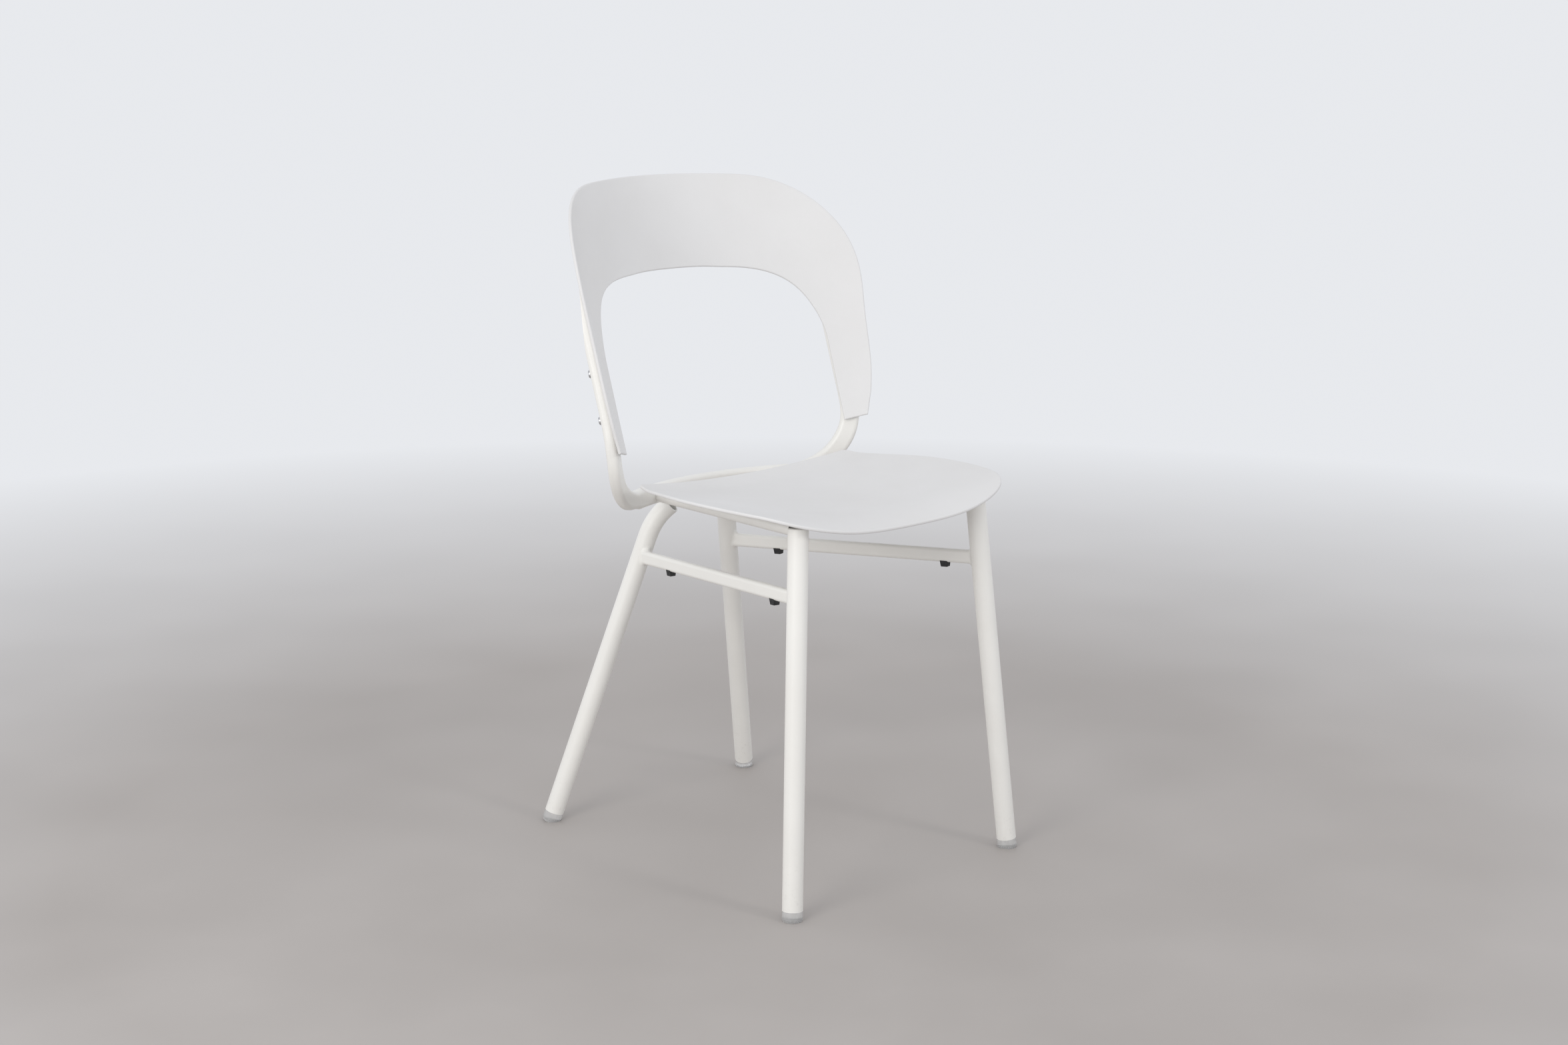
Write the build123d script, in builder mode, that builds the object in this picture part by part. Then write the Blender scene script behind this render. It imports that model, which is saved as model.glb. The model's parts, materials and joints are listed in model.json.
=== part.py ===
"""Stacking chair: welded tube frame, moulded seat, moulded horseshoe backrest.

Frame: millimetres, +Z up, origin on the floor under the middle of the chair.
The chair faces -Y. The sitter's right is -X.
"""

from build123d import *
from math import asin, cos, pi, radians, sin
import os

os.makedirs("parts", exist_ok=True)

# ---------------------------------------------------------------- dimensions
# Legs: round tube, straight and splayed; the rear pair bends in at the top
LEG_R = 12.5
TUBE_WALL = 2.0
CAP_T = 2.0
FRONT_FOOT = (191.0, -243.0)
FRONT_TOP = (152.6, -212.0)
FRONT_TOP_Z = 462.0
FRONT_LEG_END = 466.0
REAR_FOOT = (174.0, 243.0)
REAR_TOP = (54.5, 149.5)
REAR_TOP_Z = 440.0
REAR_BEND_Z = 385.0
REAR_BEND_R = 90.0
REAR_BEND_ANGLE = 35.0
REAR_LEG_END = 441.0
TUBE_END_Z = 12.0

# Side rails under the seat edge
RAIL_R = 8.0
RAIL_WALL = 1.5
RAIL_FRONT = (152.6, -213.0, 463.2)
RAIL_REAR = (85.5, 123.0, 447.5)

# Side stretchers between the front and rear legs, flat-oval tube
STRETCHER_H = 17.5
STRETCHER_T = 11.0
STRETCHER_CORNER = 4.5
STRETCHER_WALL = 1.5
STRETCHER_FRONT_Z = 383.5
STRETCHER_REAR_Z = 358.0
WELD_R = 6.0

# Cross tubes under the seat, dipping in the middle to clear the dish
CROSS_R = 7.0
CROSS_WALL = 1.5
CROSS_DIP = 9.0
CROSS_Y = {"front": -140.0, "rear": 5.0}

# Back hoop: flat-oval tube lying on an upright cylinder, its uprights leaning back
HOOP_W = 25.0
HOOP_T = 15.0
HOOP_CORNER = 6.0
HOOP_WALL = 1.6
HOOP_R = 322.5
HOOP_MID_Y = 135.2
HOOP_Z = 450.0
HOOP_BEND = 88.0
HOOP_X = 205.3
HOOP_TOP_Z = 738.0
HOOP_MITRE_Z = 640.0

# Backrest: sheet bent to a radius in plan, leaning back in a straight line
BACK_LEAN = 0.33
BACK_R = 310.0
BACK_T = 4.0
BACK_REF_Z = 546.0
BACK_REF_Y = 128.0
BACK_TOP_Z = 847.5
BACK_PEG_Z = (566.0, 622.0)
BACK_PEG_R = 5.0

# Seat: thin dished sheet with a waterfall front and a small lip at the rear
SEAT_T = 4.0
SEAT_Z = 466.0
SEAT_DISH_R = 1040.0
SEAT_FRONT_ROLL_Y = -195.0
SEAT_FRONT_ROLL_R = 164.0
SEAT_REAR_ROLL_Y = 15.0
SEAT_REAR_ROLL_R = 148.0
SEAT_EDGE_R = 1.6
SEAT_BOSS_R = 7.0
SEAT_FIXINGS = ((127.0, -172.0), (86.0, 28.0))
TAB_T = 3.0
TAB_W = 22.0

# Screws and rubber parts
SCREW_R = 2.5
HEAD_R = 5.0
HEAD_H = 3.0
BUMPER_T = (0.21, 0.867)
BUMPER_H = 6.0

SIDES = {"right": -1, "left": 1}


# ---------------------------------------------------------------- helpers
def lerp(a, b, t):
    return a + (b - a) * t


def front_axis(z, side):
    """Point on a front leg's axis at height z."""
    t = z / FRONT_TOP_Z
    x = lerp(FRONT_FOOT[0], FRONT_TOP[0], t)
    return Vector(side * x, lerp(FRONT_FOOT[1], FRONT_TOP[1], t), z)


def rear_axis(z, side):
    """Point on the straight part of a rear leg's axis at height z."""
    t = z / REAR_TOP_Z
    x = lerp(REAR_FOOT[0], REAR_TOP[0], t)
    return Vector(side * x, lerp(REAR_FOOT[1], REAR_TOP[1], t), z)


def rail_point(y, side):
    """Point on a side rail's axis at depth y."""
    t = (y - RAIL_FRONT[1]) / (RAIL_REAR[1] - RAIL_FRONT[1])
    x = lerp(RAIL_FRONT[0], RAIL_REAR[0], t)
    return Vector(side * x, y, lerp(RAIL_FRONT[2], RAIL_REAR[2], t))


def rod(start, end, radius):
    """Solid round bar between two points, kept apart from any open builder."""
    with BuildPart(mode=Mode.PRIVATE) as bar:
        with BuildSketch(Plane(origin=start, z_dir=end - start)):
            Circle(radius)
        extrude(amount=(end - start).length)
    return bar.part


def seat_height(x, y):
    """Top surface of the seat: dished across, rolled down in front and up at the rear."""
    rise = SEAT_DISH_R - (SEAT_DISH_R**2 - x * x) ** 0.5
    if y < SEAT_FRONT_ROLL_Y:
        reach = (SEAT_FRONT_ROLL_R + rise) ** 2 - (y - SEAT_FRONT_ROLL_Y) ** 2
        return SEAT_Z - SEAT_FRONT_ROLL_R + reach**0.5
    if y > SEAT_REAR_ROLL_Y:
        reach = (SEAT_REAR_ROLL_R - rise) ** 2 - (y - SEAT_REAR_ROLL_Y) ** 2
        return SEAT_Z + SEAT_REAR_ROLL_R - reach**0.5
    return SEAT_Z + rise


def back_mid(z):
    """Depth of the backrest's front face on the centre line at height z."""
    return BACK_REF_Y + BACK_LEAN * (z - BACK_REF_Z)


def hoop_lean(z):
    """Backward shift of the hoop: none at the bottom, the backrest's lean above."""
    if z < 500:
        return 0.0
    if z < 560:
        return BACK_LEAN * (z - 500) ** 2 / 120
    return BACK_LEAN * (z - 530)


def hoop_slope(z):
    """Backward slope of the hoop at height z."""
    return BACK_LEAN * min(1.0, max(0.0, (z - 500) / 60))


HOOP_END = HOOP_R * asin(HOOP_X / HOOP_R)
BEND_START = HOOP_END - HOOP_BEND
UPRIGHT_Z = 566.0


def hoop_point(s, z, out):
    """Point at arc length s from the middle, pushed outwards from the cylinder by out."""
    a = s / HOOP_R
    r = HOOP_R + out
    return Vector(r * sin(a), HOOP_MID_Y - HOOP_R + r * cos(a) + hoop_lean(z), z)


def hoop_station(s, z, turn, side):
    """Plane across the hoop's centre line: x_dir out of the cylinder, z_dir along the tube.

    turn is the tube's angle from level, 0 along the bottom and 90 degrees in the uprights.
    """
    here = hoop_point(side * s, z, 0)
    level = Vector(side * cos(s / HOOP_R), -sin(s / HOOP_R), 0)
    rising = Vector(0, hoop_slope(z), 1)
    along = (level * cos(turn) + rising * sin(turn)).normalized()
    out = hoop_point(side * s, z, 1) - here
    out = (out - along * out.dot(along)).normalized()
    return Plane(origin=here, x_dir=out, z_dir=along)


def hoop_bottom(width, thick, corner):
    """Bottom of the hoop: a bar bent to a plain arc in plan."""
    axis = Axis((0, HOOP_MID_Y - HOOP_R, 0), (0, 0, 1))
    sweep_angle = BEND_START / HOOP_R * 180 / pi
    with BuildPart(mode=Mode.PRIVATE) as bar:
        with BuildSketch(Plane(origin=(0, HOOP_MID_Y, HOOP_Z), x_dir=(0, 1, 0), z_dir=(-1, 0, 0))):
            RectangleRounded(thick, width, corner)
        revolve(axis=axis, revolution_arc=sweep_angle)
        mirror(about=Plane.YZ)
    return bar.part


def hoop_side(width, thick, corner, top_z, side):
    """One bend and upright of the hoop: a lofted bend, then a straight leaning bar."""
    turns = [pi / 2 * i / 5 for i in range(6)]
    stations = [
        hoop_station(
            BEND_START + HOOP_BEND * sin(turn),
            HOOP_Z + HOOP_BEND * (1 - cos(turn)),
            turn,
            side,
        )
        for turn in turns
    ]
    stations.append(hoop_station(HOOP_END, UPRIGHT_Z - 14, pi / 2, side))
    stations.append(hoop_station(HOOP_END, UPRIGHT_Z, pi / 2, side))
    with BuildPart(mode=Mode.PRIVATE) as bar:
        for station in stations:
            with BuildSketch(station):
                RectangleRounded(thick, width, corner)
        loft()
        with BuildSketch(stations[-1]):
            RectangleRounded(thick, width, corner)
        extrude(amount=(top_z - UPRIGHT_Z) / stations[-1].z_dir.Z)
    return bar.part


def hoop_frame(z, side):
    """Plane on an upright's centre line: x_dir across its broad face, z_dir out of its back."""
    here = hoop_point(side * HOOP_END, z, 0)
    up = hoop_point(side * HOOP_END, z + 1, 0) - here
    out = hoop_point(side * HOOP_END, z, 1) - here
    out = out - up * (out.dot(up) / up.dot(up))
    return Plane(origin=here, x_dir=up.cross(out), z_dir=out)


def mitre_plane(side):
    """Cut that thins an upright to its front face, so that it fades behind the backrest."""
    low = hoop_frame(HOOP_MITRE_Z, side)
    high = hoop_frame(HOOP_TOP_Z, side)
    back = low.origin + low.z_dir * (HOOP_T / 2 + 0.5)
    tip = high.origin - high.z_dir * (HOOP_T / 2 - 2.5)
    return Plane(origin=back, x_dir=low.x_dir, z_dir=low.x_dir.cross(tip - back))


def stretcher_plane(side, t, drop=0.0):
    """Plane on a stretcher's axis, t from rear to front: x_dir forward, z_dir downwards."""
    rear = rear_axis(STRETCHER_REAR_Z, side)
    front = front_axis(STRETCHER_FRONT_Z, side)
    along = (front - rear).normalized()
    across = along.cross(Vector(0, 0, 1)).normalized()
    down = along.cross(across).normalized()
    if down.Z > 0:
        down = down * -1
    return Plane(origin=rear + (front - rear) * t + down * drop, x_dir=along, z_dir=down)


def rear_leg_path(side):
    """Straight tube line with a bend towards the middle and the front at its top."""
    low = rear_axis(TUBE_END_Z, side)
    knee = rear_axis(REAR_BEND_Z, side)
    along = (knee - low).normalized()
    inward = Vector(-side * 0.52, -0.85, 0)
    inward = (inward - along * inward.dot(along)).normalized()

    def on_bend(angle):
        a = radians(angle)
        return knee + (along * sin(a) + inward * (1 - cos(a))) * REAR_BEND_R

    return low, knee, on_bend(REAR_BEND_ANGLE / 2), on_bend(REAR_BEND_ANGLE)


def save_pair(part, name):
    """Write a right-hand part and its mirrored left-hand twin."""
    with BuildPart() as right_part:
        add(part)
    with BuildPart() as left_part:
        mirror(part, about=Plane.YZ)
    for word, piece in (("right", right_part.part), ("left", left_part.part)):
        piece.label = f"{name}_{word}"
        export_step(piece, f"parts/{name}_{word}.step")


hoop_low = hoop_bottom(HOOP_W, HOOP_T, HOOP_CORNER)


# ---------------------------------------------------------------- front legs
def make_front_leg():
    side = SIDES["right"]
    low = front_axis(TUBE_END_Z, side)
    top = front_axis(FRONT_LEG_END, side)
    length = (top - low).length
    with BuildPart() as front_leg:
        with BuildSketch(Plane(origin=low, z_dir=top - low)):
            Circle(LEG_R)
        extrude(amount=length)
        fillet(front_leg.edges().filter_by(GeomType.CIRCLE).sort_by(Axis.Z)[-1], 1.5)
        with BuildSketch(Plane(origin=low, z_dir=top - low)):
            Circle(LEG_R - TUBE_WALL)
        extrude(amount=length - CAP_T, mode=Mode.SUBTRACT)
    return front_leg.part


# ---------------------------------------------------------------- rear legs
def make_rear_leg():
    side = SIDES["right"]
    low, knee, middle, end = rear_leg_path(side)
    with BuildLine(mode=Mode.PRIVATE) as line:
        Line(low, knee)
        ThreePointArc(knee, middle, end)
    with BuildPart() as rear_leg:
        with BuildSketch(Plane(origin=low, z_dir=knee - low)):
            Circle(LEG_R)
        sweep(path=line.wire())
        split(bisect_by=Plane.XY.offset(REAR_LEG_END), keep=Keep.BOTTOM)
        with BuildPart(mode=Mode.PRIVATE) as bore:
            with BuildSketch(Plane(origin=low, z_dir=knee - low)):
                Circle(LEG_R - TUBE_WALL)
            sweep(path=line.wire())
            split(bisect_by=Plane.XY.offset(REAR_LEG_END - 8), keep=Keep.BOTTOM)
        add(bore.part, mode=Mode.SUBTRACT)
        add(hoop_low, mode=Mode.SUBTRACT)
    return rear_leg.part


# ---------------------------------------------------------------- side rails
def make_side_rail():
    side = SIDES["right"]
    front = rail_point(RAIL_FRONT[1], side)
    rear = rail_point(RAIL_REAR[1], side)
    with BuildPart() as side_rail:
        add(rod(front, rear, RAIL_R))
        add(rod(front, rear, RAIL_R - RAIL_WALL), mode=Mode.SUBTRACT)
        add(rod(front_axis(400, side), front_axis(490, side), LEG_R), mode=Mode.SUBTRACT)
        add(hoop_low, mode=Mode.SUBTRACT)
    return side_rail.part


# ---------------------------------------------------------------- side stretchers
def make_side_stretcher():
    side = SIDES["right"]
    rear = rear_axis(STRETCHER_REAR_Z, side)
    front = front_axis(STRETCHER_FRONT_Z, side)
    start = stretcher_plane(side, 0)
    section = Plane(origin=rear, x_dir=start.y_dir, z_dir=front - rear)
    length = (front - rear).length
    legs = [
        rod(axis(z - 40, side), axis(z + 40, side), LEG_R)
        for axis, z in ((front_axis, STRETCHER_FRONT_Z), (rear_axis, STRETCHER_REAR_Z))
    ]
    with BuildPart() as side_stretcher:
        for leg in legs:
            add(leg)
        with BuildSketch(section):
            RectangleRounded(STRETCHER_T, STRETCHER_H, STRETCHER_CORNER)
        extrude(amount=length)
        fillet(side_stretcher.edges(Select.NEW), WELD_R)
        for leg in legs:
            add(leg, mode=Mode.SUBTRACT)
        with BuildSketch(section):
            RectangleRounded(
                STRETCHER_T - 2 * STRETCHER_WALL,
                STRETCHER_H - 2 * STRETCHER_WALL,
                STRETCHER_CORNER - STRETCHER_WALL,
            )
        extrude(amount=length, mode=Mode.SUBTRACT)
        for t in BUMPER_T:
            with BuildSketch(stretcher_plane(side, t)):
                Circle(SCREW_R)
            extrude(amount=STRETCHER_H, mode=Mode.SUBTRACT)
    return side_stretcher.part


# ---------------------------------------------------------------- cross tubes
def make_cross_tube(y, name):
    right = rail_point(y, -1)
    left = rail_point(y, 1)
    low = Vector(0, y, right.Z - CROSS_DIP)
    with BuildLine(mode=Mode.PRIVATE) as line:
        ThreePointArc(right, low, left)
    with BuildPart() as cross_tube:
        with BuildSketch(Plane(origin=right, z_dir=line.wire() % 0)):
            Circle(CROSS_R)
            Circle(CROSS_R - CROSS_WALL, mode=Mode.SUBTRACT)
        sweep(path=line.wire())
        for side in SIDES.values():
            rail = rod(rail_point(y - 60, side), rail_point(y + 60, side), RAIL_R)
            add(rail, mode=Mode.SUBTRACT)
    cross_tube.part.label = name
    export_step(cross_tube.part, f"parts/{name}.step")


save_pair(make_front_leg(), "front_leg")
save_pair(make_rear_leg(), "rear_leg")
save_pair(make_side_rail(), "side_rail")
save_pair(make_side_stretcher(), "side_stretcher")
for word, y in CROSS_Y.items():
    make_cross_tube(y, f"{word}_cross_tube")

# ---------------------------------------------------------------- back hoop
# Hollow up to the crushed ends, which are mitred so that they fade behind the backrest.
BORE = (HOOP_W - 2 * HOOP_WALL, HOOP_T - 2 * HOOP_WALL, HOOP_CORNER - HOOP_WALL)
with BuildPart(mode=Mode.PRIVATE) as hoop_bore:
    add(hoop_bottom(*BORE))
    for side in SIDES.values():
        add(hoop_side(*BORE, HOOP_MITRE_Z, side))

with BuildPart() as back_hoop:
    add(hoop_low)
    for side in SIDES.values():
        with BuildPart(mode=Mode.PRIVATE) as upright:
            add(hoop_side(HOOP_W, HOOP_T, HOOP_CORNER, HOOP_TOP_Z, side))
            split(bisect_by=mitre_plane(side), keep=Keep.BOTTOM)
        add(upright.part)
    add(hoop_bore.part, mode=Mode.SUBTRACT)
    for side in SIDES.values():
        for z in BACK_PEG_Z:
            frame = hoop_frame(z, side)
            with BuildSketch(frame):
                Circle(SCREW_R + 0.25)
            extrude(amount=HOOP_T, mode=Mode.SUBTRACT)
            with BuildSketch(frame):
                Circle(BACK_PEG_R + 0.2)
            extrude(amount=-HOOP_T, mode=Mode.SUBTRACT)
back_hoop.part.label = "back_hoop"
export_step(back_hoop.part, "parts/back_hoop.step")

# ---------------------------------------------------------------- seat tabs
with BuildPart() as seat_tabs:
    for side in SIDES.values():
        for x, y in SEAT_FIXINGS:
            rail = rail_point(y, side)
            outer = abs(rail.X)
            inner = x - 12
            with BuildSketch(Plane.XY.offset(rail.Z + 1 - TAB_T)):
                with Locations((side * (outer + inner) / 2, y)):
                    RectangleRounded(outer - inner, TAB_W, 3)
                with Locations((side * x, y)):
                    Circle(SCREW_R + 0.25, mode=Mode.SUBTRACT)
            extrude(amount=TAB_T)
            bar = rod(rail_point(y - 40, side), rail_point(y + 40, side), RAIL_R)
            add(bar, mode=Mode.SUBTRACT)
seat_tabs.part.label = "seat_tabs"
export_step(seat_tabs.part, "parts/seat_tabs.step")

# ---------------------------------------------------------------- seat shell
# A sheet bent to a radius across the seat, carried straight back and rolled at both ends,
# trimmed to the outline, with screw bosses below.
def seat_section(y):
    """Dished band across the seat, standing at depth y."""
    upright = Plane(origin=(0, y, SEAT_Z), x_dir=(1, 0, 0), z_dir=(0, 1, 0))
    with BuildSketch(upright, mode=Mode.PRIVATE) as section:
        with Locations((0, -SEAT_DISH_R)):
            Circle(SEAT_DISH_R + SEAT_T)
            Circle(SEAT_DISH_R, mode=Mode.SUBTRACT)
        with Locations((0, -SEAT_DISH_R - 40)):
            Rectangle(2400, 2 * SEAT_DISH_R, mode=Mode.SUBTRACT)
    return section.sketch


front_roll = Axis((0, SEAT_FRONT_ROLL_Y, SEAT_Z - SEAT_FRONT_ROLL_R), (1, 0, 0))
rear_roll = Axis((0, SEAT_REAR_ROLL_Y, SEAT_Z + SEAT_REAR_ROLL_R), (1, 0, 0))
with BuildPart() as seat_shell:
    extrude(seat_section(SEAT_FRONT_ROLL_Y), amount=SEAT_REAR_ROLL_Y - SEAT_FRONT_ROLL_Y)
    revolve(seat_section(SEAT_FRONT_ROLL_Y), axis=front_roll, revolution_arc=28)
    revolve(seat_section(SEAT_REAR_ROLL_Y), axis=rear_roll, revolution_arc=26)
    with BuildSketch(Plane.XY.offset(400)):
        with BuildLine():
            Spline(
                (0, -252), (132, -248), (190, -222), (210, -172), (213, -95), (181, 39),
                tangents=((1, 0), (-0.28, 1)),
            )
            Spline((181, 39), (170, 48.5), tangents=((-0.28, 1), (-1, 0.13)))
            Spline((170, 48.5), (0, 60), tangents=((-1, 0.13), (-1, 0)))
            mirror(about=Plane.YZ)
        make_face()
    extrude(amount=140, mode=Mode.INTERSECT)
    rim = [
        edge
        for edge in seat_shell.edges()
        if edge.length > 4.5
        and abs(edge.center().Y - SEAT_FRONT_ROLL_Y) > 1
        and abs(edge.center().Y - SEAT_REAR_ROLL_Y) > 1
    ]
    fillet(rim, SEAT_EDGE_R)
    for side in SIDES.values():
        for x, y in SEAT_FIXINGS:
            tab_top = rail_point(y, side).Z + 1
            with BuildSketch(Plane.XY.offset(tab_top)):
                with Locations((side * x, y)):
                    Circle(SEAT_BOSS_R)
            extrude(amount=seat_height(x, y) - 2 - tab_top)
            with BuildSketch(Plane.XY.offset(tab_top)):
                with Locations((side * x, y)):
                    Circle(SCREW_R)
            extrude(amount=seat_height(x, y) - 2 - tab_top, mode=Mode.SUBTRACT)
seat_shell.part.label = "seat_shell"
export_step(seat_shell.part, "parts/seat_shell.step")

# ---------------------------------------------------------------- seat screws
with BuildPart() as seat_screws:
    for side in SIDES.values():
        for x, y in SEAT_FIXINGS:
            tab_top = rail_point(y, side).Z + 1
            head = Plane(origin=(side * x, y, tab_top - TAB_T), z_dir=(0, 0, -1))
            with BuildSketch(head):
                Circle(HEAD_R)
            extrude(amount=HEAD_H)
            fillet(seat_screws.faces().sort_by(Axis.Z)[0].edges(), 1.2)
            with BuildSketch(head.offset(HEAD_H)):
                RegularPolygon(2, 6)
            extrude(amount=-1.8, mode=Mode.SUBTRACT)
            with BuildSketch(head):
                Circle(SCREW_R)
            extrude(amount=-(seat_height(x, y) - 2.5 - tab_top + TAB_T))
seat_screws.part.label = "seat_screws"
export_step(seat_screws.part, "parts/seat_screws.step")

# ---------------------------------------------------------------- backrest shell
# Horseshoe cut from a sheet bent to a radius in plan, with two pegs on the back of each arm.
with BuildPart(mode=Mode.PRIVATE) as back_band:
    with BuildSketch(Plane.XY.offset(480)):
        with Locations((0, back_mid(480) - BACK_R)):
            Circle(BACK_R + 12)
            Circle(BACK_R, mode=Mode.SUBTRACT)
        with Locations((0, back_mid(480) - BACK_R - 110)):
            Rectangle(900, 520, mode=Mode.SUBTRACT)
    extrude(amount=400 * (1 + BACK_LEAN**2) ** 0.5, dir=(0, BACK_LEAN, 1))
    with BuildSketch(Plane.XZ.offset(-400)):
        with BuildLine():
            Spline(
                (0, BACK_TOP_Z), (106, 845), (163, 837), (203, 812), (228, 770), (235, 730),
                (231.5, 664), (226, 590), (221.5, 562),
                tangents=((1, 0), (-0.17, -1)),
            )
            Line((221.5, 562), (213, 529))
            Line((213, 529), (188, 522))
            Line((188, 522), (189, 628))
            Spline(
                (189, 628), (183, 664), (166, 697), (135, 717), (75, 725.5), (0, 728),
                tangents=((0, 1), (-1, 0)),
            )
            mirror(about=Plane.YZ)
        make_face()
        outer_toes = [v for v in vertices() if abs(abs(v.X) - 213) < 1 and abs(v.Z - 529) < 1]
        inner_toes = [v for v in vertices() if abs(abs(v.X) - 188) < 1 and abs(v.Z - 522) < 1]
        fillet(outer_toes, 14)
        fillet(inner_toes, 3)
    extrude(amount=800, mode=Mode.INTERSECT)
back_faces = back_band.faces().filter_by(GeomType.EXTRUSION).sort_by(SortBy.AREA)[-2:]
back_face = back_faces.sort_by(Axis.Y)[0]

with BuildPart() as backrest_shell:
    thicken(back_face, amount=-BACK_T)
    fillet(backrest_shell.edges().filter_by(lambda e: e.length > BACK_T + 1), 1.6)
    for side in SIDES.values():
        for z in BACK_PEG_Z:
            frame = hoop_frame(z, side)
            root = -HOOP_T / 2 - 2.5
            with BuildSketch(frame.offset(root)):
                Circle(BACK_PEG_R)
            extrude(amount=HOOP_T - HOOP_WALL - 1 + 2.5)
            with BuildSketch(frame.offset(root + 2)):
                Circle(SCREW_R)
            extrude(amount=HOOP_T, mode=Mode.SUBTRACT)
backrest_shell.part.label = "backrest_shell"
export_step(backrest_shell.part, "parts/backrest_shell.step")

# ---------------------------------------------------------------- backrest screws
with BuildPart() as backrest_screws:
    for side in SIDES.values():
        for z in BACK_PEG_Z:
            frame = hoop_frame(z, side).offset(HOOP_T / 2)
            with BuildSketch(frame):
                Circle(HEAD_R)
            extrude(amount=HEAD_H)
            with BuildSketch(frame.offset(HEAD_H)):
                RegularPolygon(2, 6)
            extrude(amount=-1.8, mode=Mode.SUBTRACT)
            with BuildSketch(frame):
                Circle(SCREW_R)
            extrude(amount=-(HOOP_T - 0.5))
    heads = backrest_screws.edges().filter_by(GeomType.CIRCLE)
    rims = [e for e in heads if abs(e.radius - HEAD_R) < 0.01]
    tops = [
        e
        for e in rims
        if any(
            abs(hoop_frame(z, side).to_local_coords(e.arc_center).Z - HOOP_T / 2 - HEAD_H) < 0.1
            and abs(hoop_frame(z, side).to_local_coords(e.arc_center).Y) < 1
            for side in SIDES.values()
            for z in BACK_PEG_Z
        )
    ]
    fillet(tops, 1.2)
backrest_screws.part.label = "backrest_screws"
export_step(backrest_screws.part, "parts/backrest_screws.step")


# ---------------------------------------------------------------- glides
def make_glide(axis_point):
    """Domed foot with a ribbed plug, standing flat on the floor."""
    low = axis_point(TUBE_END_Z, SIDES["right"])
    up = axis_point(TUBE_END_Z + 10, SIDES["right"]) - low
    reach = 16.0
    bore = LEG_R - TUBE_WALL
    with BuildPart() as glide:
        with BuildSketch(Plane(origin=low, z_dir=up)):
            Circle(LEG_R)
        extrude(amount=-reach)
        fillet(glide.edges().filter_by(GeomType.CIRCLE).sort_by(Axis.Z)[0], 6.5)
        split(bisect_by=Plane.XY, keep=Keep.TOP)
        with BuildSketch(Plane(origin=low, z_dir=up)):
            Circle(bore - 0.8)
        extrude(amount=18)
        for step in (3, 8, 13):
            with BuildSketch(Plane(origin=low + up.normalized() * step, z_dir=up)):
                Circle(bore)
            extrude(amount=2)
    return glide.part


save_pair(make_glide(front_axis), "front_glide")
save_pair(make_glide(rear_axis), "rear_glide")


# ---------------------------------------------------------------- stacking bumpers
def make_bumper(t):
    """Tapered rubber block hugging a stretcher's underside, with a stem pushed into the tube."""
    seat = stretcher_plane(SIDES["right"], t, STRETCHER_H / 2)
    middle = seat.offset(-STRETCHER_H / 2).origin
    with BuildPart() as bumper:
        with BuildSketch(seat.offset(-4)):
            RectangleRounded(12, 10, 1)
        with BuildSketch(seat.offset(BUMPER_H)):
            RectangleRounded(9.5, 8, 1)
        loft()
        fillet(bumper.faces().sort_by(Axis.Z)[0].edges(), 0.8)
        with BuildSketch(Plane(origin=middle, x_dir=seat.y_dir, z_dir=seat.x_dir)):
            RectangleRounded(STRETCHER_T, STRETCHER_H, STRETCHER_CORNER)
        extrude(amount=20, both=True, mode=Mode.SUBTRACT)
        with BuildSketch(seat.offset(0.5)):
            Circle(SCREW_R)
        extrude(amount=-6)
    return bumper.part


save_pair(make_bumper(BUMPER_T[0]), "rear_bumper")
save_pair(make_bumper(BUMPER_T[1]), "front_bumper")
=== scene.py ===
"""Stacking chair: powder-coated tube frame with a moulded seat and backrest."""

import json
from math import radians

import bmesh
import bpy
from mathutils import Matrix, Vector

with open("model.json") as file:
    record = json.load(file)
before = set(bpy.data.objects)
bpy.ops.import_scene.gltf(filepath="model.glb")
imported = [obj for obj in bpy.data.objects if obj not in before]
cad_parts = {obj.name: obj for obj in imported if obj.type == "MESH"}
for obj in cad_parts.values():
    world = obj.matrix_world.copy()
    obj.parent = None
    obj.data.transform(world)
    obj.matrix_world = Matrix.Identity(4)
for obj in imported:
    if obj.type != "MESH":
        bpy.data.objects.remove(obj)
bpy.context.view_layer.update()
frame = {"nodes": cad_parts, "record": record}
NODES = frame["nodes"]


# ---------------------------------------------------------------- materials
def new_material(name):
    """An empty node material, its shader and its object coordinates."""
    mat = bpy.data.materials.new(name)
    mat.use_nodes = True
    shader = mat.node_tree.nodes["Principled BSDF"]
    place = mat.node_tree.nodes.new("ShaderNodeTexCoord")
    return mat, shader, place.outputs["Object"]


def add_node(mat, kind, **inputs):
    """A node of this kind, with the given inputs set or linked."""
    node = mat.node_tree.nodes.new(kind)
    for key, value in inputs.items():
        put(mat, node.inputs[key.replace("_", " ")], value)
    return node


def put(mat, socket, value):
    """Links an output to a socket, or sets the socket's own value."""
    if isinstance(value, bpy.types.NodeSocket):
        mat.node_tree.links.new(value, socket)
    else:
        socket.default_value = value


def noise(mat, place, scale, detail=3.0, rough=0.55):
    """Plain noise, from 0 to 1."""
    node = add_node(
        mat, "ShaderNodeTexNoise", Vector=place, Scale=scale, Detail=detail, Roughness=rough
    )
    return node.outputs["Fac"]


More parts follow.
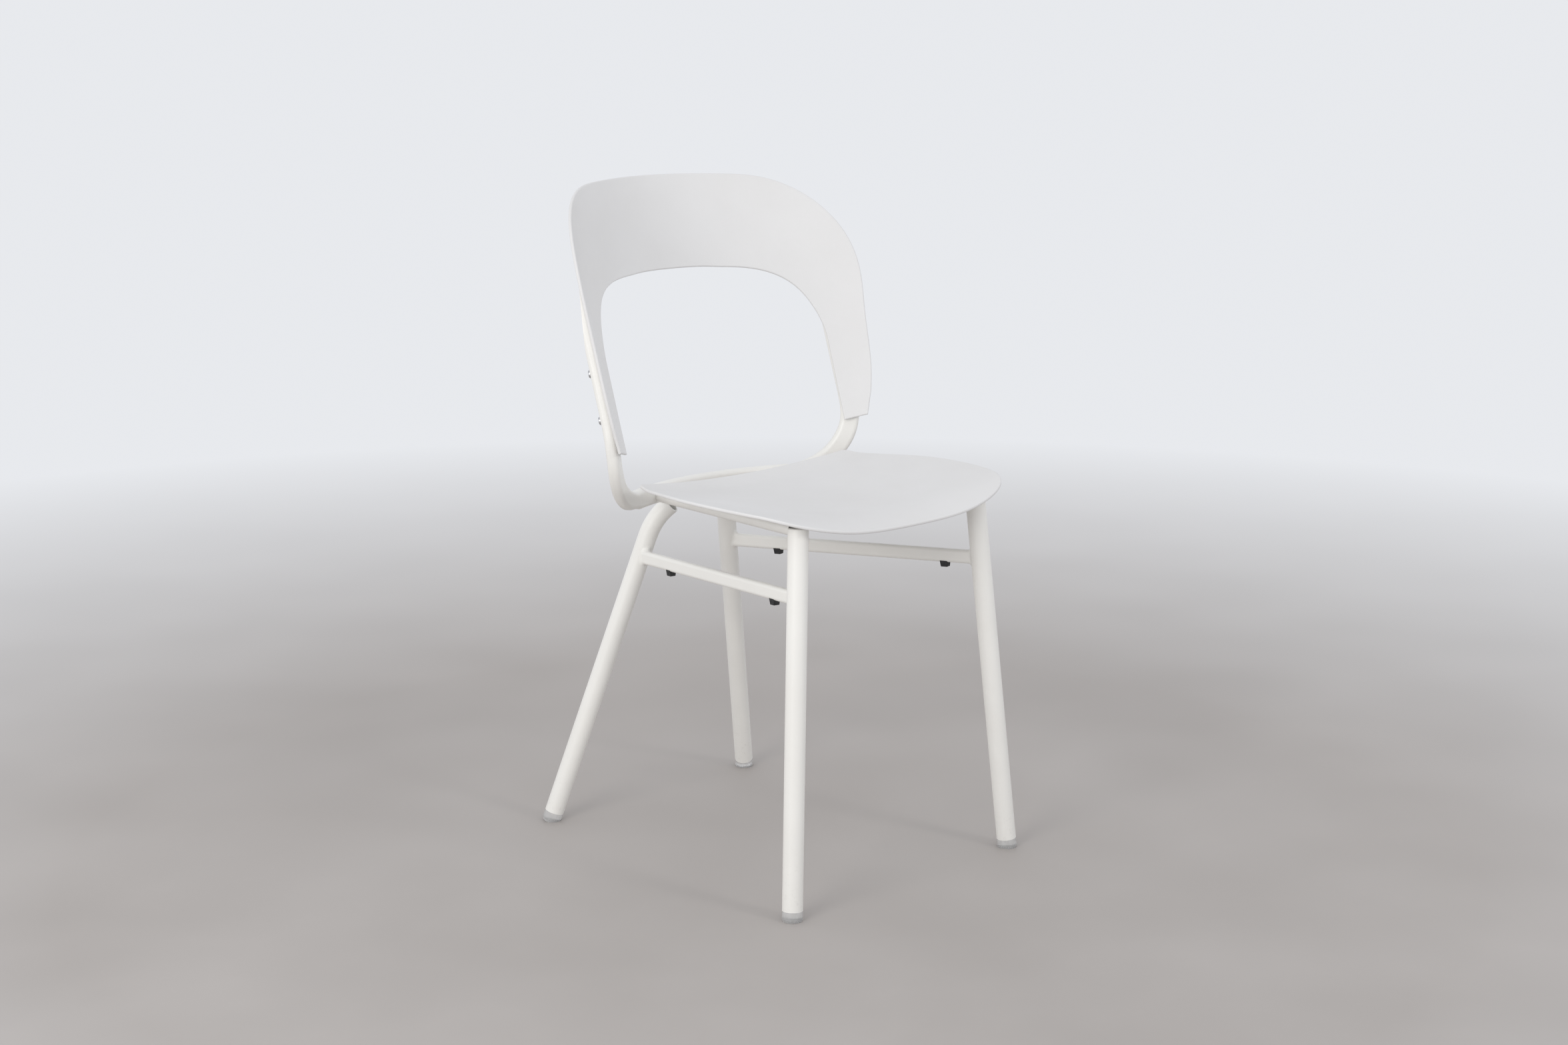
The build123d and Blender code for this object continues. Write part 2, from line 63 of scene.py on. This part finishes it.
def ramp(mat, factor, stops):
    """A colour ramp with (position, colour) stops."""
    node = add_node(mat, "ShaderNodeValToRGB", Fac=factor)
    bar = node.color_ramp
    bar.elements[0].position, bar.elements[0].color = stops[0][0], (*stops[0][1], 1)
    bar.elements[1].position, bar.elements[1].color = stops[-1][0], (*stops[-1][1], 1)
    for position, colour in stops[1:-1]:
        bar.elements.new(position).color = (*colour, 1)
    return node.outputs["Color"]


def remap(mat, factor, low, high, to_low, to_high):
    """Carries the range low to high onto to_low to to_high, and stops at its ends."""
    node = mat.node_tree.nodes.new("ShaderNodeMapRange")
    for slot, value in zip(range(5), (factor, low, high, to_low, to_high)):
        put(mat, node.inputs[slot], value)
    return node.outputs[0]


def math_node(mat, operation, a, b):
    """The result of one operation on two numbers or outputs."""
    node = mat.node_tree.nodes.new("ShaderNodeMath")
    node.operation = operation
    put(mat, node.inputs[0], a)
    put(mat, node.inputs[1], b)
    return node.outputs[0]


def blend_colour(mat, factor, a, b):
    """Goes from colour a at factor 0 to colour b at factor 1."""
    node = mat.node_tree.nodes.new("ShaderNodeMix")
    node.data_type = "RGBA"
    put(mat, node.inputs[0], factor)
    put(mat, node.inputs[6], a if isinstance(a, bpy.types.NodeSocket) else (*a, 1))
    put(mat, node.inputs[7], b if isinstance(b, bpy.types.NodeSocket) else (*b, 1))
    return node.outputs[2]


def bumps(mat, shader, layers):
    """Chained bumps from (height, distance in metres, strength) layers."""
    normal = None
    for height, distance, strength in layers:
        node = add_node(mat, "ShaderNodeBump", Height=height, Distance=distance, Strength=strength)
        if normal is not None:
            mat.node_tree.links.new(normal, node.inputs["Normal"])
        normal = node.outputs["Normal"]
    mat.node_tree.links.new(normal, shader.inputs["Normal"])


def height_above_floor(mat, place):
    """Height in metres: every node's origin is on the floor."""
    node = add_node(mat, "ShaderNodeSeparateXYZ", Vector=place)
    return node.outputs["Z"]


def powder_coat():
    """Warm off-white powder coat: satin, a fine orange peel, faint scuffs near the floor."""
    mat, shader, place = new_material("powder_coat")
    tone = ramp(
        mat,
        noise(mat, place, 9.0, 4.0),
        [
            (0.30, (0.800, 0.786, 0.750)),
            (0.55, (0.825, 0.812, 0.777)),
            (0.75, (0.840, 0.828, 0.794)),
        ],
    )
    fleck = remap(mat, noise(mat, place, 2600.0, 1.0), 0.30, 0.36, 1.0, 0.0)
    tone = blend_colour(mat, math_node(mat, "MULTIPLY", fleck, 0.10), tone, (0.62, 0.60, 0.56))
    low_down = remap(mat, height_above_floor(mat, place), 0.012, 0.11, 1.0, 0.0)
    scuff = remap(mat, noise(mat, place, 160.0, 6.0, 0.7), 0.56, 0.70, 0.0, 1.0)
    scuff = math_node(mat, "MULTIPLY", scuff, low_down)
    tone = blend_colour(mat, math_node(mat, "MULTIPLY", scuff, 0.30), tone, (0.55, 0.53, 0.50))
    put(mat, shader.inputs["Base Color"], tone)
    smooth = remap(mat, noise(mat, place, 45.0, 4.0), 0.3, 0.7, 0.36, 0.45)
    rougher = math_node(mat, "MULTIPLY", scuff, 0.2)
    put(mat, shader.inputs["Roughness"], math_node(mat, "ADD", smooth, rougher))
    bumps(
        mat,
        shader,
        [(noise(mat, place, 55.0, 2.0), 0.0004, 0.10), (noise(mat, place, 900.0, 2.0), 0.00012, 0.28)],
    )
    shader.inputs["Coat Weight"].default_value = 0.10
    shader.inputs["Coat Roughness"].default_value = 0.25
    return mat


def moulded_plastic():
    """Cooler off-white moulded plastic with a fine spark-eroded grain and slight rub marks."""
    mat, shader, place = new_material("moulded_plastic")
    tone = ramp(
        mat,
        noise(mat, place, 6.0, 4.0),
        [
            (0.30, (0.700, 0.690, 0.682)),
            (0.55, (0.722, 0.714, 0.708)),
            (0.75, (0.738, 0.731, 0.726)),
        ],
    )
    grain = noise(mat, place, 1500.0, 2.0, 0.6)
    speck = remap(mat, grain, 0.30, 0.45, 1.0, 0.0)
    tone = blend_colour(mat, math_node(mat, "MULTIPLY", speck, 0.12), tone, (0.60, 0.59, 0.585))
    put(mat, shader.inputs["Base Color"], tone)
    rubbed = remap(mat, noise(mat, place, 14.0, 5.0, 0.65), 0.35, 0.70, 0.50, 0.62)
    put(mat, shader.inputs["Roughness"], rubbed)
    pits = add_node(mat, "ShaderNodeTexVoronoi", Vector=place, Scale=1100.0)
    bumps(
        mat,
        shader,
        [
            (noise(mat, place, 20.0, 2.0), 0.0006, 0.05),
            (pits.outputs["Distance"], 0.00010, 0.22),
            (grain, 0.00012, 0.30),
        ],
    )
    shader.inputs["IOR"].default_value = 1.46
    return mat


def clear_plastic():
    """Half-clear, slightly frosted glide plastic with scuffed soles."""
    mat, shader, place = new_material("glide_plastic_clear")
    cloud = noise(mat, place, 220.0, 3.0)
    tone = ramp(mat, cloud, [(0.35, (0.88, 0.88, 0.87)), (0.65, (0.95, 0.95, 0.95))])
    put(mat, shader.inputs["Base Color"], tone)
    scuff = remap(mat, height_above_floor(mat, place), 0.0, 0.004, 0.45, 0.10)
    ripple = remap(mat, noise(mat, place, 400.0, 3.0), 0.3, 0.7, 0.0, 0.10)
    put(mat, shader.inputs["Roughness"], math_node(mat, "ADD", scuff, ripple))
    bumps(mat, shader, [(noise(mat, place, 300.0, 2.0), 0.0003, 0.25)])
    shader.inputs["Transmission Weight"].default_value = 0.6
    shader.inputs["IOR"].default_value = 1.49
    return mat


def black_rubber():
    """Matt black rubber with a dusty bloom."""
    mat, shader, place = new_material("black_rubber")
    dust = noise(mat, place, 350.0, 5.0)
    tone = ramp(mat, dust, [(0.35, (0.010, 0.010, 0.011)), (0.75, (0.030, 0.030, 0.032))])
    put(mat, shader.inputs["Base Color"], tone)
    bloom = remap(mat, noise(mat, place, 500.0, 3.0), 0.3, 0.7, 0.55, 0.78)
    put(mat, shader.inputs["Roughness"], bloom)
    bumps(mat, shader, [(noise(mat, place, 1400.0, 2.0), 0.0001, 0.30)])
    return mat


def zinc_steel():
    """Zinc-plated screw steel with a fine turned finish."""
    mat, shader, place = new_material("zinc_steel")
    stain = noise(mat, place, 600.0, 4.0)
    tone = ramp(mat, stain, [(0.30, (0.50, 0.50, 0.51)), (0.70, (0.64, 0.64, 0.66))])
    put(mat, shader.inputs["Base Color"], tone)
    turned = remap(mat, noise(mat, place, 900.0, 4.0), 0.3, 0.7, 0.26, 0.44)
    put(mat, shader.inputs["Roughness"], turned)
    bumps(mat, shader, [(noise(mat, place, 2500.0, 2.0), 0.00005, 0.25)])
    shader.inputs["Metallic"].default_value = 1.0
    return mat


FINISHES = {
    "frame_coat": powder_coat(),
    "shell_plastic": moulded_plastic(),
    "glide_plastic": clear_plastic(),
    "bumper_rubber": black_rubber(),
    "screw_steel": zinc_steel(),
}
for part in frame["record"]["subparts"]:
    mesh = NODES[part["node"]].data
    mesh.materials.clear()
    mesh.materials.append(FINISHES[part["material_slot"]])


# ---------------------------------------------------------------- stage
# The floor is painted out to FADE_START metres and is all air from FADE_END on.
AIR = (0.805, 0.820, 0.850)
FLOOR_RADIUS = 40.0
FADE_START = 0.9
FADE_END = 3.0


def studio_floor():
    """Pale, slightly mottled floor round the chair that fades into the bright studio air."""
    mesh = bpy.data.meshes.new("studio_floor")
    form = bmesh.new()
    bmesh.ops.create_circle(form, cap_ends=True, radius=FLOOR_RADIUS, segments=96)
    form.to_mesh(mesh)
    form.free()
    floor = bpy.data.objects.new("studio_floor", mesh)
    bpy.context.scene.collection.objects.link(floor)
    mat, shader, place = new_material("studio_floor_paint")
    tone = ramp(
        mat,
        noise(mat, place, 3.0, 6.0),
        [(0.30, (0.395, 0.365, 0.345)), (0.70, (0.445, 0.415, 0.395))],
    )
    put(mat, shader.inputs["Base Color"], tone)
    worn = remap(mat, noise(mat, place, 12.0, 4.0), 0.3, 0.7, 0.60, 0.72)
    put(mat, shader.inputs["Roughness"], worn)
    reach = add_node(mat, "ShaderNodeVectorMath", Vector=place)
    reach.operation = "LENGTH"
    glow = add_node(mat, "ShaderNodeEmission", Color=(*AIR, 1.0), Strength=1.0)
    edge = remap(mat, reach.outputs["Value"], FADE_START, FADE_END, 0.0, 1.0)
    joined = mat.node_tree.nodes.new("ShaderNodeMixShader")
    put(mat, joined.inputs[0], edge)
    mat.node_tree.links.new(shader.outputs["BSDF"], joined.inputs[1])
    mat.node_tree.links.new(glow.outputs["Emission"], joined.inputs[2])
    surface = mat.node_tree.nodes["Material Output"].inputs["Surface"]
    mat.node_tree.links.new(joined.outputs[0], surface)
    mesh.materials.append(mat)


def area_light(name, place, target, size, power, colour):
    """A round soft light at place, turned towards target."""
    lamp = bpy.data.lights.new(name, "AREA")
    lamp.shape = "DISK"
    lamp.size, lamp.energy, lamp.color = size, power, colour
    holder = bpy.data.objects.new(name, lamp)
    bpy.context.scene.collection.objects.link(holder)
    holder.location = place
    aim = Vector(target) - Vector(place)
    holder.rotation_mode = "QUATERNION"
    holder.rotation_quaternion = aim.to_track_quat("-Z", "Y")


studio_floor()
world = bpy.data.worlds.new("studio_air")
world.use_nodes = True
air = world.node_tree.nodes["Background"]
air.inputs["Color"].default_value = (*AIR, 1.0)
air.inputs["Strength"].default_value = 1.0
bpy.context.scene.world = world

MIDDLE = (0.0, 0.0, 0.45)
area_light("key_light", (-3.5, -0.8, 1.6), MIDDLE, 2.0, 50.0, (1.0, 0.985, 0.955))
area_light("front_light", (0.6, -3.4, 2.2), MIDDLE, 0.7, 16.0, (1.0, 0.99, 0.975))

# ---------------------------------------------------------------- camera
CAMERA_PLACE = (-2.0686, -2.2276, 1.0653)
CAMERA_HEADING = 43.205
CAMERA_DIP = 12.022
lens = bpy.data.cameras.new("camera")
lens.sensor_width = 36.0
lens.lens = 55.94
camera = bpy.data.objects.new("camera", lens)
bpy.context.scene.collection.objects.link(camera)
camera.location = CAMERA_PLACE
camera.rotation_euler = (radians(90 - CAMERA_DIP), 0, -radians(CAMERA_HEADING))
bpy.context.scene.camera = camera
bpy.context.scene.view_settings.view_transform = "Standard"
